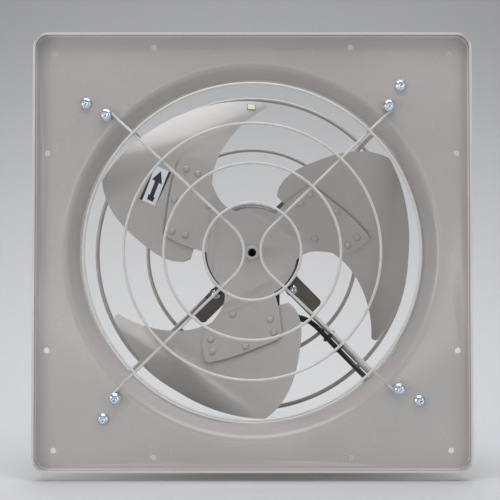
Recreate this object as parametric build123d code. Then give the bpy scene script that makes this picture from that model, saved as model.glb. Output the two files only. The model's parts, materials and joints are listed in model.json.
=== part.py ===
"""Panel-mounted exhaust fan with a wire guard, a three-blade sheet-metal rotor and a caged motor.

The model is drawn in the fan's own frame: X right, Y up, Z towards the outlet side, with Z = 0 on the
panel's back, mounting face. A depth is measured from that face away from the outlet, so Z = -depth.
At the end everything is turned a quarter turn about X, so that in the written files +Z is up, the
outlet side faces -Y and the motor side faces +Y.
"""

from build123d import *
import math
import os

# ---------------------------------------------------------------- panel
PANEL_SIZE = 504.0
PANEL_CORNER = 18.0
PANEL_SHEET = 1.6
RIM_HEIGHT = 11.0
RIM_BEND = 2.5
HEM_WIDTH = 3.0
HEM_HEIGHT = 3.6
THROAT_RADIUS = 204.0
THROAT_END = 34.0
MOUTH_RADIUS = 215.2
MOUTH_BEND = 10.0
THROAT_START = 20.6
THROAT_BEND = 8.0
CORNER_HOLE_PITCH = 458.0
EDGE_HOLE_PITCH = 474.0
EDGE_HOLE_SPACING = 228.0
MOUNT_HOLE = 7.0

# ---------------------------------------------------------------- M6 fixings
SCREW = 6.0
SCREW_HEAD = 13.2
SCREW_HEAD_HEIGHT = 4.4
NUT_ACROSS = 10.0
NUT_HEIGHT = 5.0
HOLE_CLEARANCE = 0.6
FIT = 0.05

# ---------------------------------------------------------------- front guard
GUARD_WIRE = 3.2
GUARD_RINGS = (55.0, 100.0, 145.0, 190.0)
GUARD_STAND_OFF = 25.0
GUARD_SCREW_RADIUS = 231.0
GUARD_SCREW_ANGLE = 46.9
GUARD_EYE = 5.4
GUARD_WAIST = -7.0
GUARD_WAIST_BEND = 37.0
GUARD_SLOPE_TOP = 197.0
GUARD_SLOPE_FOOT = 217.0
GUARD_SLOPE_BEND = 9.0
GUARD_EYE_TURN = 272.0
GUARD_WASHER = 13.8
GUARD_WASHER_SHEET = 1.2

# ---------------------------------------------------------------- rear cage
LEG_ROD = 6.0
LEG_ANGLE = 44.5
LEG_PLANE = 160.0
LEG_BEND_RADIUS = 208.0
LEG_FOOT_RADIUS = 229.0
LEG_INNER_END = 86.0
LEG_SHOULDER_BEND = 14.0
LEG_FOOT_BEND = 10.0
LEG_EYE = 6.5
LEG_EYE_TURN = 262.0
CAGE_SCREW_RADIUS = 258.0
CAGE_SCREW_ANGLE = 48.3
CAGE_WASHER = 18.0
CAGE_WASHER_SHEET = 1.2
OUTER_CAGE_ROD = 5.5
INNER_CAGE_ROD = 5.0
INNER_CAGE_RADIUS = 141.0

# ---------------------------------------------------------------- motor bracket
BRACKET_SHEET = 3.0
BRACKET_BORE = 64.8
LOBE_END = 114.0
LOBE_LOW = -3.0
LOBE_HIGH = 22.0
LOBE_CORNER = 6.0
LOBE_NOTCH = 2.2
LOBE_NOTCH_AT = 94.0
BRACKET_SCREW_ALONG = 73.5
BRACKET_SCREW_ACROSS = 5.0
BUSH_RADIUS = 8.0
BUSH_HEIGHT = 3.0
FLANGE_RADIUS = 66.4
FLANGE_EAR = 9.0

# ---------------------------------------------------------------- motor
MOTOR_RADIUS = 64.0
MOTOR_FRONT = 112.0
MOTOR_SHELL_FRONT = 126.0
MOTOR_SHELL_REAR = 222.0
MOTOR_REAR = 238.0
MOTOR_SHELL = 1.6
SHIELD_WEB = 4.0
SHIELD_SHOULDER = 9.0
SPIGOT_DEPTH = 5.0
SPIGOT_WALL = 3.0
CORE_FRONT = 146.0
CORE_REAR = 200.0
CORE_BORE = 38.0
AIR_GAP = 0.4
WINDING_INNER = 40.0
WINDING_OUTER = 53.0
WINDING_LENGTH = 14.0
END_RING_INNER = 24.0
END_RING_OUTER = 35.0
END_RING_LENGTH = 5.0
THROUGH_BOLT = 4.8
THROUGH_BOLT_RADIUS = 57.6
SHAFT = 15.0
SHAFT_CORE = 18.0
SHAFT_HUB = 10.0
BEARING_WIDTH = 11.0
BEARING_OUTER = 35.0
BEARING_LAND_IN = 10.6
BEARING_LAND_OUT = 14.4
BALL = 5.8
BALL_PITCH = 12.5
BALL_COUNT = 8
RUNNING = 0.1
SLINGER_RADIUS = 14.0

# ---------------------------------------------------------------- rotor
HUB_DEPTH = 90.0
HUB_RADIUS = 57.0
HUB_SHEET = 3.0
ARM_SLOPE = 0.5
ARM_BEND_DISTANCE = 46.5
ARM_BEND_ANGLE = 57.0
ARM_BEND_HALF = 6.0
SECTOR_EDGE = -14.0
BLADE_COUNT = 3
BLADE_SHEET = 1.5
BLADE_GAP = 0.04
TIP_RADIUS = 199.0
TIP_TRAILING = 34.4
TIP_LEADING = -38.8
TIP_CORNER = 5.0
TIP_CURL_START = 135.0
TIP_CURL = 0.0075
BLADE_ROOT = 72.0
RIVET_SHANK = 4.0
RIVET_HEAD = 9.0
RIVET_DOME = 2.8
RIVET_TAIL = 6.2
RIVET_PLACES = ((81.0, 12.5), (86.0, 45.2), (102.0, 45.2), (116.0, 26.0), (120.0, 4.5), (132.0, 8.3))
NOSE_RADIUS = 9.2
NOSE_FRONT = 72.0
BOSS_RADIUS = 15.0
BOSS_FLANGE = 24.0
BOSS_FLANGE_SHEET = 3.0
BOSS_REAR = 106.0
SHAFT_RECESS = 11.0
LABEL_SIZE = (20.0, 46.0)
LABEL_AT = (144.0, 25.3)
LABEL_TURN = -53.6
LABEL_SHEET = 0.25
TAB_SIZE = (11.0, 8.0)
TAB_AT = (191.0, -29.8)
TAB_SHEET = 0.8

# ---------------------------------------------------------------- terminal box and cable
BOX_HALF_WIDTH = 38.0
BOX_FLOOR = 104.0
BOX_FRONT = 173.0
BOX_REAR = 218.0
BOX_WALL = 2.0
BOX_CORNER = 4.0
LID_SHEET = 2.0
GASKET = 0.8
LID_SCREW_INSET = 5.0
LID_POST = 4.0
LID_POST_HEIGHT = 9.0
LID_SCREW = 3.0
GLAND_HEIGHT = 87.0
GLAND_DEPTH = 181.5
GLAND_LENGTH = 18.0
CABLE = 7.0
CAPACITOR_RADIUS = 10.0
CAPACITOR_LENGTH = 34.0
COIL_CENTRE = (172.0, -204.5)
COIL_INNER = 30.2
COIL_OUTER = 45.0
COIL_FRONT = 60.5
COIL_REAR = 75.0
COIL_TIE_ANGLE = 100.0
TIE_WIDTH = 3.6
TIE_SHEET = 1.2
TIE_PLACES = (152.0, 172.0)

# The lead's route: x, y and depth of each point, from the gland to the coil.
CABLE_ROUTE = (
    (56.0, -87.0, 181.5), (74.0, -89.0, 177.5), (87.0, -98.0, 160.5), (104.0, -116.5, 157.2),
    (121.5, -134.7, 158.4), (136.0, -149.4, 149.5), (143.8, -157.6, 133.5),
    (146.0, -160.0, 115.5), (145.8, -162.2, 98.5), (141.6, -169.8, 83.5), (134.4, -181.2, 74.4),
    (130.9, -195.0, 71.4),
)
TAIL_ROUTE = ((213.2, -204.5, 64.4), (213.2, -180.0, 64.4))
CORE_WIRE = 1.9
CORE_LENGTH = 16.0

OUTPUT = "parts"
QUARTER_TURNS = (0.0, 90.0, 180.0, 270.0)
BLADE_TURNS = tuple(index * 360.0 / BLADE_COUNT for index in range(BLADE_COUNT))


def polar(radius, degrees):
    """The point at a radius and an anticlockwise angle, as seen from the outlet side."""
    return (radius * math.cos(math.radians(degrees)), radius * math.sin(math.radians(degrees)))


def four_times(shape, degrees=0.0):
    """The shape in each quarter of the fan, first turned by the angle given."""
    return Compound([Rot(0, 0, degrees + turn) * shape for turn in QUARTER_TURNS])


def drum(radius, front, rear, bore=0.0):
    """A disc or ring about the fan's axis between two depths."""
    face = Circle(radius)
    if bore:
        face -= Circle(bore)
    return Pos(0, 0, -rear) * extrude(face, rear - front)


def turning(points, radii):
    """A solid of revolution from a closed outline of (radius, depth) points with a bend radius at each."""
    outline = FilletPolyline(*[(r, 0, -depth) for r, depth in points], radius=radii, close=True)
    return revolve(make_face(outline), Axis.Z)


def offset_line(points, gap):
    """The open polyline set over by a gap to its left, with the corners carried along."""
    edges = []
    for (ax, ay), (bx, by) in zip(points, points[1:]):
        length = math.hypot(bx - ax, by - ay)
        nx, ny = -(by - ay) / length * gap, (bx - ax) / length * gap
        edges.append(((ax + nx, ay + ny), (bx + nx, by + ny)))
    moved = [edges[0][0]]
    for (p, q), (r, s) in zip(edges, edges[1:]):
        dx, dy, ex, ey = q[0] - p[0], q[1] - p[1], s[0] - r[0], s[1] - r[1]
        along = ((r[0] - p[0]) * ey - (r[1] - p[1]) * ex) / (dx * ey - dy * ex)
        moved.append((p[0] + dx * along, p[1] + dy * along))
    return moved + [edges[-1][1]]


def rod(path, diameter):
    """A round rod along a path."""
    start = Plane(origin=path @ 0, z_dir=path % 0)
    return sweep(start * Circle(diameter / 2), path=path)


def pan_screw(length, head=SCREW_HEAD, height=SCREW_HEAD_HEIGHT, shank=SCREW):
    """A domed cross-recess screw: its head stands on Z = 0 and its shank runs down."""
    edge = height * 0.35
    outline = [
        Line((0, 0), (head / 2, 0)),
        Line((head / 2, 0), (head / 2, edge)),
        ThreePointArc((head / 2, edge), (head * 0.32, height * 0.86), (0, height)),
        Line((0, height), (0, 0)),
    ]
    body = revolve(Plane.XZ * make_face(outline), Axis.Z) + Pos(0, 0, -length) * Cylinder(
        shank / 2, length, align=(Align.CENTER, Align.CENTER, Align.MIN))
    slot = Pos(0, 0, height) * Box(head * 0.56, head * 0.16, height * 1.3)
    return body - slot - Rot(0, 0, 90) * slot


def hex_nut(across, height, bore):
    """A nut hanging below Z = 0."""
    face = RegularPolygon(across / 2, 6, major_radius=False) - Circle(bore / 2)
    return Pos(0, 0, -height) * extrude(face, height)


def washer(outer, inner, sheet):
    """A washer standing on Z = 0."""
    return extrude(Circle(outer / 2) - Circle(inner / 2), sheet)


# ================================================================ panel
def make_panel():
    """One pressed sheet: square face, turned and hemmed rim, bell mouth and throat, all its holes."""
    outer = extrude(RectangleRounded(PANEL_SIZE, PANEL_SIZE, PANEL_CORNER), RIM_HEIGHT)
    outer = fillet(outer.faces().sort_by(Axis.Z)[0].edges(), RIM_BEND + PANEL_SHEET * 0.7)
    clear = PANEL_SIZE - 2 * PANEL_SHEET
    inner = Pos(0, 0, PANEL_SHEET) * extrude(
        RectangleRounded(clear, clear, PANEL_CORNER - PANEL_SHEET), RIM_HEIGHT)
    inner = fillet(inner.faces().sort_by(Axis.Z)[0].edges(), RIM_BEND)
    flat_edge = MOUTH_RADIUS + MOUTH_BEND + 3.0
    face_side = [(flat_edge, -PANEL_SHEET), (MOUTH_RADIUS, -PANEL_SHEET),
                 (THROAT_RADIUS, THROAT_START), (THROAT_RADIUS, THROAT_END)]
    back_side = offset_line(face_side, -PANEL_SHEET)
    bell = turning(
        face_side + back_side[::-1],
        [0, MOUTH_BEND, THROAT_BEND, 0, 0, THROAT_BEND + PANEL_SHEET, MOUTH_BEND - PANEL_SHEET, 0])
    hem = RectangleRounded(PANEL_SIZE, PANEL_SIZE, PANEL_CORNER) - RectangleRounded(
        PANEL_SIZE - 2 * HEM_WIDTH, PANEL_SIZE - 2 * HEM_WIDTH, PANEL_CORNER - HEM_WIDTH)
    hem = Pos(0, 0, RIM_HEIGHT - HEM_HEIGHT) * extrude(hem, HEM_HEIGHT)
    panel = outer - inner + hem - drum(flat_edge, -RIM_HEIGHT, 1.0) + bell
    corner, edge, side = CORNER_HOLE_PITCH / 2, EDGE_HOLE_PITCH / 2, EDGE_HOLE_SPACING / 2
    places = [(sx * corner, sy * corner) for sx in (-1, 1) for sy in (-1, 1)]
    places += [(sx * side, sy * edge) for sx in (-1, 1) for sy in (-1, 1)]
    places += [(sx * edge, sy * side) for sx in (-1, 1) for sy in (-1, 1)]
    holes = [Pos(x, y, 0) * Cylinder(MOUNT_HOLE / 2, 20) for x, y in places]
    for radius, angle in ((GUARD_SCREW_RADIUS, GUARD_SCREW_ANGLE), (CAGE_SCREW_RADIUS, CAGE_SCREW_ANGLE)):
        for turn in QUARTER_TURNS:
            x, y = polar(radius, angle + turn)
            holes.append(Pos(x, y, 0) * Cylinder((SCREW + HOLE_CLEARANCE) / 2, 20))
    return panel - holes


# ================================================================ front guard
def guard_ring(radius):
    """One ring of the guard, welded on the outlet side of the spoke wires."""
    return Pos(0, 0, GUARD_STAND_OFF) * Torus(radius, GUARD_WIRE / 2)


def guard_spoke(turn):
    """A spoke wire: a waist beside the axis, two straight arms, two slopes, and an eye at each end."""
    low = PANEL_SHEET + GUARD_WIRE / 2 + FIT
    high = GUARD_STAND_OFF - GUARD_WIRE
    waist = (GUARD_WAIST, 0.0)
    arms = []
    for screw_angle in (GUARD_SCREW_ANGLE, GUARD_SCREW_ANGLE - 90.0):
        cx, cy = polar(GUARD_SCREW_RADIUS, screw_angle)
        reach = math.hypot(cx - waist[0], cy - waist[1])
        heading = math.degrees(math.atan2(cy - waist[1], cx - waist[0]))
        heading -= math.degrees(math.asin(GUARD_EYE / reach))
        tangent = math.sqrt(reach ** 2 - GUARD_EYE ** 2)
        scale = tangent / GUARD_SCREW_RADIUS

        def along(distance, height, heading=heading):
            dx, dy = polar(distance, heading)
            return (waist[0] + dx, waist[1] + dy, height)

        start = heading - 90.0
        eye = [Vector(cx, cy, low) + Vector(*polar(GUARD_EYE, start + swing), 0)
               for swing in (0.0, GUARD_EYE_TURN / 2, GUARD_EYE_TURN)]
        arms.append((along(tangent, low), along(GUARD_SLOPE_FOOT * scale, low),
                     along(GUARD_SLOPE_TOP * scale, high), eye))
    (end_a, foot_a, top_a, eye_a), (end_b, foot_b, top_b, eye_b) = arms
    middle = FilletPolyline(
        end_a, foot_a, top_a, (waist[0], waist[1], high), top_b, foot_b, end_b,
        radius=[GUARD_SLOPE_BEND, GUARD_SLOPE_BEND, GUARD_WAIST_BEND, GUARD_SLOPE_BEND, GUARD_SLOPE_BEND])
    path = Wire([ThreePointArc(*eye_a[::-1])] + list(middle.edges()) + [ThreePointArc(*eye_b)])
    return Rot(0, 0, turn) * rod(path, GUARD_WIRE)


def guard_fixings():
    """Screws, washers and nuts that hold the four eyes of the guard."""
    x, y = polar(GUARD_SCREW_RADIUS, GUARD_SCREW_ANGLE)
    seat = PANEL_SHEET + GUARD_WIRE + 2 * FIT
    ring = Pos(x, y, seat) * washer(GUARD_WASHER, SCREW + HOLE_CLEARANCE, GUARD_WASHER_SHEET)
    top = seat + GUARD_WASHER_SHEET + FIT
    screw = Pos(x, y, top) * pan_screw(top + NUT_HEIGHT + 1.5)
    nut = Pos(x, y, -FIT) * hex_nut(NUT_ACROSS, NUT_HEIGHT, SCREW + 2 * FIT)
    return four_times(screw), four_times(ring), four_times(nut)


# ================================================================ rear cage
def cage_leg(turn):
    """A rod leg: an inner end on the bracket, a shoulder, a slope to the panel and an eye foot."""
    low = -(LEG_ROD / 2 + FIT)
    ex, ey = polar(CAGE_SCREW_RADIUS, CAGE_SCREW_ANGLE - LEG_ANGLE)
    reach = math.hypot(ex - LEG_FOOT_RADIUS, ey)
    heading = math.degrees(math.atan2(ey, ex - LEG_FOOT_RADIUS)) - math.degrees(math.asin(LEG_EYE / reach))
    tangent = math.sqrt(reach ** 2 - LEG_EYE ** 2)
    tx, ty = polar(tangent, heading)
    middle = FilletPolyline(
        (LEG_INNER_END, 0, -LEG_PLANE), (LEG_BEND_RADIUS, 0, -LEG_PLANE), (LEG_FOOT_RADIUS, 0, low),
        (LEG_FOOT_RADIUS + tx, ty, low), radius=[LEG_SHOULDER_BEND, LEG_FOOT_BEND])
    start = heading - 90.0
    eye = [Vector(ex, ey, low) + Vector(*polar(LEG_EYE, start + swing), 0)
           for swing in (0.0, LEG_EYE_TURN / 2, LEG_EYE_TURN)]
    path = Wire(list(middle.edges()) + [ThreePointArc(*eye)])
    return Rot(0, 0, LEG_ANGLE + turn) * rod(path, LEG_ROD)


def outer_cage_ring():
    """The large ring, welded on the outside of the legs' shoulders."""
    dx, dz = LEG_FOOT_RADIUS - LEG_BEND_RADIUS, LEG_PLANE
    turn = math.atan2(dz, dx)
    back = LEG_SHOULDER_BEND * math.tan(turn / 2)
    centre_r, centre_d = LEG_BEND_RADIUS - back, LEG_PLANE - LEG_SHOULDER_BEND
    reach = LEG_SHOULDER_BEND + (LEG_ROD + OUTER_CAGE_ROD) / 2
    radius = centre_r + reach * math.sin(turn / 2)
    depth = centre_d + reach * math.cos(turn / 2)
    return Pos(0, 0, -depth) * Torus(radius, OUTER_CAGE_ROD / 2)


def inner_cage_ring():
    """The small ring, welded behind the legs."""
    depth = LEG_PLANE + (LEG_ROD + INNER_CAGE_ROD) / 2
    return Pos(0, 0, -depth) * Torus(INNER_CAGE_RADIUS, INNER_CAGE_ROD / 2)


def cage_fixings():
    """Screws, washers and nuts that hold the four eye feet behind the panel."""
    x, y = polar(CAGE_SCREW_RADIUS, CAGE_SCREW_ANGLE)
    under = -(LEG_ROD + 2 * FIT)
    screw = Pos(x, y, PANEL_SHEET + FIT) * pan_screw(
        PANEL_SHEET + FIT - under + CAGE_WASHER_SHEET + NUT_HEIGHT + 1.5)
    ring = Pos(x, y, under - CAGE_WASHER_SHEET) * washer(
        CAGE_WASHER, SCREW + HOLE_CLEARANCE, CAGE_WASHER_SHEET)
    nut = Pos(x, y, under - CAGE_WASHER_SHEET - FIT) * hex_nut(NUT_ACROSS, NUT_HEIGHT, SCREW + 2 * FIT)
    return four_times(screw), four_times(ring), four_times(nut)


# ================================================================ motor bracket
BRACKET_FRONT = LEG_PLANE + LEG_ROD / 2
BRACKET_BACK = BRACKET_FRONT + BRACKET_SHEET


def make_bracket():
    """Four plates welded behind the legs, each lying along one side of its leg."""
    plates = []
    middle = (LOBE_LOW + LOBE_HIGH) / 2
    start = BRACKET_BORE - 6.0
    for turn in QUARTER_TURNS:
        lobe = Pos((start + LOBE_END) / 2, middle) * RectangleRounded(
            LOBE_END - start, LOBE_HIGH - LOBE_LOW, LOBE_CORNER)
        lobe -= Pos(LOBE_NOTCH_AT, LOBE_LOW + 4.0) * Circle(LOBE_NOTCH)
        lobe -= Pos(BRACKET_SCREW_ALONG, BRACKET_SCREW_ACROSS) * Circle((SCREW + HOLE_CLEARANCE) / 2)
        lobe -= Circle(BRACKET_BORE)
        plates.append(Rot(0, 0, LEG_ANGLE + turn) * Pos(0, 0, -BRACKET_BACK) * extrude(lobe, BRACKET_SHEET))
    return Compound(plates)


def bracket_fixings():
    """Screws, rubber bushes and nuts between the bracket and the motor's flange, and that flange."""
    x, y = BRACKET_SCREW_ALONG, BRACKET_SCREW_ACROSS
    flange_front = BRACKET_BACK + BUSH_HEIGHT + 2 * FIT
    flange_back = flange_front + BRACKET_SHEET
    screw = Pos(x, y, -BRACKET_FRONT + FIT) * pan_screw(flange_back - BRACKET_FRONT + NUT_HEIGHT + 2.0)
    bush = Pos(x, y, -BRACKET_BACK - FIT - BUSH_HEIGHT) * washer(
        2 * BUSH_RADIUS, SCREW + HOLE_CLEARANCE, BUSH_HEIGHT)
    nut = Pos(x, y, -flange_back - FIT) * hex_nut(NUT_ACROSS, NUT_HEIGHT, SCREW + 2 * FIT)
    face = Circle(FLANGE_RADIUS)
    for turn in QUARTER_TURNS:
        face += Rot(0, 0, LEG_ANGLE + turn) * Pos(x, y) * Circle(FLANGE_EAR)
    face -= Circle(MOTOR_RADIUS + FIT)
    for turn in QUARTER_TURNS:
        face -= Rot(0, 0, LEG_ANGLE + turn) * Pos(x, y) * Circle((SCREW + HOLE_CLEARANCE) / 2)
    flange = Pos(0, 0, -flange_back) * extrude(face, BRACKET_SHEET)
    return (four_times(screw, LEG_ANGLE), four_times(bush, LEG_ANGLE), four_times(nut, LEG_ANGLE), flange)


# ================================================================ motor
SEAT_LENGTH = BEARING_WIDTH + 2 * FIT
FRONT_BEARING = MOTOR_FRONT + SHIELD_WEB - 1.0
REAR_BEARING = MOTOR_REAR - SHIELD_WEB + 1.0 - SEAT_LENGTH
BOLT_TURN = 45.0


def through_bolt_holes(radius):
    """Four long cylinders where the through bolts run."""
    x, y = polar(THROUGH_BOLT_RADIUS, BOLT_TURN)
    length = MOTOR_REAR - MOTOR_FRONT + 40.0
    middle = (MOTOR_REAR + MOTOR_FRONT) / 2
    return four_times(Pos(x, y, -middle) * Cylinder(radius, length))


def end_shield(face, skirt_end, bearing_near, sign):
    """A cup with a rounded shoulder, a bearing seat and a spigot; sign is 1 when it opens to the rear."""
    seat = BEARING_OUTER / 2 + FIT
    boss = seat + 4.5
    web = face + sign * SHIELD_WEB
    bearing_far = bearing_near + sign * SEAT_LENGTH
    spigot_out = MOTOR_RADIUS - MOTOR_SHELL - FIT
    spigot_end = skirt_end + sign * SPIGOT_DEPTH
    points = [
        (SHAFT / 2 + 0.6, face), (MOTOR_RADIUS, face), (MOTOR_RADIUS, skirt_end), (spigot_out, skirt_end),
        (spigot_out, spigot_end), (spigot_out - SPIGOT_WALL, spigot_end), (spigot_out - SPIGOT_WALL, web),
        (boss, web), (boss, bearing_far), (seat, bearing_far), (seat, bearing_near),
        (SHAFT / 2 + 0.6, bearing_near)]
    radii = [0, SHIELD_SHOULDER, 0, 0, 0, 0, 3.0, 2.0, 1.0, 0, 0, 0]
    shield = turning(points, radii)
    x, y = polar(THROUGH_BOLT_RADIUS, BOLT_TURN)
    boss_length = abs(spigot_end - web) + 1.0
    lug = Pos(x, y, -(web + spigot_end) / 2) * Cylinder(5.0, boss_length)
    lugs = four_times(lug) & drum(spigot_out, min(web, spigot_end) - 2.0, max(web, spigot_end))
    return shield + lugs - through_bolt_holes(THROUGH_BOLT / 2 + FIT)


def through_bolts():
    """Long bolts with heads behind and nuts in front that clamp the shields onto the shell."""
    x, y = polar(THROUGH_BOLT_RADIUS, BOLT_TURN)
    near, far = MOTOR_FRONT + 0.3, MOTOR_REAR - 0.3
    bolt = Pos(x, y, -(near + far) / 2) * Cylinder(THROUGH_BOLT / 2, far - near)
    return four_times(bolt)


def make_shell():
    """The rolled steel motor body, with a slot into the terminal box."""
    shell = drum(MOTOR_RADIUS, MOTOR_SHELL_FRONT + FIT, MOTOR_SHELL_REAR - FIT, MOTOR_RADIUS - MOTOR_SHELL)
    lead_hole = Pos(0, -MOTOR_RADIUS, -(BOX_FRONT + BOX_REAR) / 2 - 12) * Rot(90, 0, 0) * Cylinder(6, 20)
    return shell - lead_hole


def stator():
    """The laminated core, and its two winding heads."""
    bolts = through_bolt_holes(THROUGH_BOLT / 2 + 0.3)
    core = drum(MOTOR_RADIUS - MOTOR_SHELL - FIT, CORE_FRONT, CORE_REAR, CORE_BORE) - bolts
    heads = []
    for near, far in ((CORE_FRONT - WINDING_LENGTH, CORE_FRONT), (CORE_REAR, CORE_REAR + WINDING_LENGTH)):
        heads.append(turning([(WINDING_INNER, near), (WINDING_OUTER, near), (WINDING_OUTER, far),
                              (WINDING_INNER, far)], [5.0, 5.0, 0.5, 0.5]))
    return core, Compound(heads)


def motor_rotor():
    """The rotor's laminated core and its cast end rings."""
    bore = SHAFT_CORE / 2 + FIT
    core = drum(CORE_BORE - AIR_GAP, CORE_FRONT, CORE_REAR, bore)
    rings = [drum(END_RING_OUTER, CORE_FRONT - END_RING_LENGTH, CORE_FRONT, END_RING_INNER),
             drum(END_RING_OUTER, CORE_REAR, CORE_REAR + END_RING_LENGTH, END_RING_INNER)]
    return core, Compound(rings)


def make_shaft():
    """A stepped shaft: thin at the hub, a centre mark in its end, thick in the rotor core."""
    hub_end = NOSE_FRONT + SHAFT_RECESS
    points = [(0, hub_end), (SHAFT_HUB / 2, hub_end), (SHAFT_HUB / 2, BOSS_REAR), (SHAFT / 2, BOSS_REAR),
              (SHAFT / 2, CORE_FRONT - 14), (SHAFT_CORE / 2, CORE_FRONT - 14),
              (SHAFT_CORE / 2, CORE_REAR + 12), (SHAFT / 2, CORE_REAR + 12), (SHAFT / 2, MOTOR_REAR + 2),
              (0, MOTOR_REAR + 2)]
    radii = [0, 0.8, 0, 0.4, 0, 0.4, 0.4, 0, 1.0, 0]
    mark = Pos(0, 0, -hub_end) * Cone(0.01, 2.2, 3.0, align=(Align.CENTER, Align.CENTER, Align.MAX))
    return turning(points, radii) - mark


def bearings():
    """Outer races, inner races and balls of both bearings."""
    groove = BALL / 2 + RUNNING
    outer, inner, balls = [], [], []
    for near in (FRONT_BEARING + FIT, REAR_BEARING + FIT):
        middle = near + BEARING_WIDTH / 2
        track = Pos(0, 0, -middle) * Torus(BALL_PITCH, groove)
        outer.append(drum(BEARING_OUTER / 2, near, near + BEARING_WIDTH, BEARING_LAND_OUT) - track)
        inner.append(drum(BEARING_LAND_IN, near, near + BEARING_WIDTH, SHAFT / 2 + 0.02) - track)
        for index in range(BALL_COUNT):
            x, y = polar(BALL_PITCH, index * 360.0 / BALL_COUNT)
            balls.append(Pos(x, y, -middle) * Sphere(BALL / 2))
    return Compound(outer), Compound(inner), Compound(balls)


def slinger():
    """A rubber ring on the shaft that throws water off in front of the front shield."""
    gap = MOTOR_FRONT - BOSS_REAR
    return turning([(SHAFT / 2 + 0.02, BOSS_REAR + 1.5), (SHAFT / 2 + 3, BOSS_REAR + 1.5),
                    (SLINGER_RADIUS, BOSS_REAR + gap - 1.4), (SLINGER_RADIUS, BOSS_REAR + gap - 0.6),
                    (SHAFT / 2 + 0.02, BOSS_REAR + gap - 0.6)], 0)


# ================================================================ rotor
def bent_sheet(reach_back, reach_out):
    """Sheet that lies flat in the hub's plane, bends along one straight line, and rises to an arm."""
    slope = math.degrees(math.atan(ARM_SLOPE))
    radius = ARM_BEND_HALF / math.tan(math.radians(slope / 2))
    start, bend = ARM_BEND_DISTANCE - reach_back, ARM_BEND_DISTANCE
    end = bend + reach_out
    front = [(start, -HUB_DEPTH), (bend, -HUB_DEPTH), (end, -HUB_DEPTH + reach_out * ARM_SLOPE)]
    back = [(start, -HUB_DEPTH - HUB_SHEET), (bend + HUB_SHEET * math.tan(math.radians(slope / 2)),
            -HUB_DEPTH - HUB_SHEET), (end, -HUB_DEPTH + reach_out * ARM_SLOPE - HUB_SHEET / math.cos(
                math.radians(slope)))]
    outline = FilletPolyline(*[(x, 0, z) for x, z in front + back[::-1]],
                             radius=[0, radius, 0, 0, radius + HUB_SHEET, 0], close=True)
    strip = extrude(make_face(outline), 400, both=True)
    return Rot(0, 0, ARM_BEND_ANGLE) * strip


def arm_outline():
    """One arm with its third of the hub disc, as a flat face seen along the axis."""
    edge = [polar(HUB_RADIUS, -9.0), polar(84, 1.2), polar(109, -0.4), polar(129, 0.8)]
    tail = [polar(129, 20.5), polar(118, 31.6), polar(111, 47.0)]
    flank = [polar(106, 49.6), polar(76.5, 55.6), polar(HUB_RADIUS, 59.4)]
    arm = make_face([
        Spline(edge), Line(edge[-1], polar(146, 6.4)), Line(polar(146, 6.4), polar(145.4, 8.4)),
        Spline([polar(145.4, 8.4)] + tail), Line(tail[-1], flank[0]), Spline(flank),
        Line(flank[-1], (10, 0)), Line((10, 0), edge[0])])
    sector = make_face([
        Line((0, 0), polar(HUB_RADIUS, SECTOR_EDGE)),
        ThreePointArc(polar(HUB_RADIUS, SECTOR_EDGE), polar(HUB_RADIUS, SECTOR_EDGE + 60),
                      polar(HUB_RADIUS, SECTOR_EDGE + 120)),
        Line(polar(HUB_RADIUS, SECTOR_EDGE + 120), (0, 0))])
    return arm + sector


def rivet_frame(radius, degrees):
    """The plane on an arm's outlet face at a rivet, with its Z along the sheet's normal."""
    x, y = polar(radius, degrees)
    ux, uy = polar(1.0, ARM_BEND_ANGLE)
    rise = (x * ux + y * uy - ARM_BEND_DISTANCE) * ARM_SLOPE
    return Plane(origin=(x, y, -HUB_DEPTH + rise), z_dir=(-ARM_SLOPE * ux, -ARM_SLOPE * uy, 1.0))


def rivet_holes(turn):
    """Shank holes of one blade's rivets, a little larger than the shanks."""
    hole = Cylinder(RIVET_SHANK / 2 + FIT, 16)
    return [Rot(0, 0, turn) * rivet_frame(*place).location * hole for place in RIVET_PLACES]


def make_spider():
    """The pressed hub disc with its three arms, one sheet."""
    piece = bent_sheet(ARM_BEND_DISTANCE + HUB_RADIUS, 130.0) & Pos(0, 0, -HUB_DEPTH - 20) * extrude(
        arm_outline(), 120)
    spider = piece
    for turn in BLADE_TURNS[1:]:
        spider += Rot(0, 0, turn) * piece
    spider -= Pos(0, 0, -HUB_DEPTH) * Cylinder(NOSE_RADIUS + FIT, 20)
    for turn in BLADE_TURNS:
        spider -= rivet_holes(turn)
    return spider


def blade_outline():
    """A blade's outline seen along the axis."""
    tip = [polar(TIP_RADIUS, angle) for angle in (TIP_TRAILING, 0.0, TIP_LEADING)]
    trailing = [polar(85.5, 67.6), polar(107, 64.2), polar(129.5, 56.9), polar(165, 46.7), tip[0]]
    leading = [tip[-1], polar(185, -32.9), polar(154, -20.7), polar(129, -10.5), polar(111, -3.5),
               polar(91, 3.4)]
    root = [polar(91, 3.4), polar(BLADE_ROOT, 24), polar(BLADE_ROOT, 52), polar(77.5, 66.5)]
    face = make_face([Spline(trailing), ThreePointArc(*tip), Spline(leading), Spline(root),
                      Line(root[-1], trailing[0])])
    soft = [v for v in face.vertices() if v.center().length < 90 and v.center().Y > 60]
    face = fillet(soft, 4.0)
    sharp = face.vertices().sort_by(Axis.Y)[0]
    return fillet(sharp, TIP_CORNER)


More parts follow.
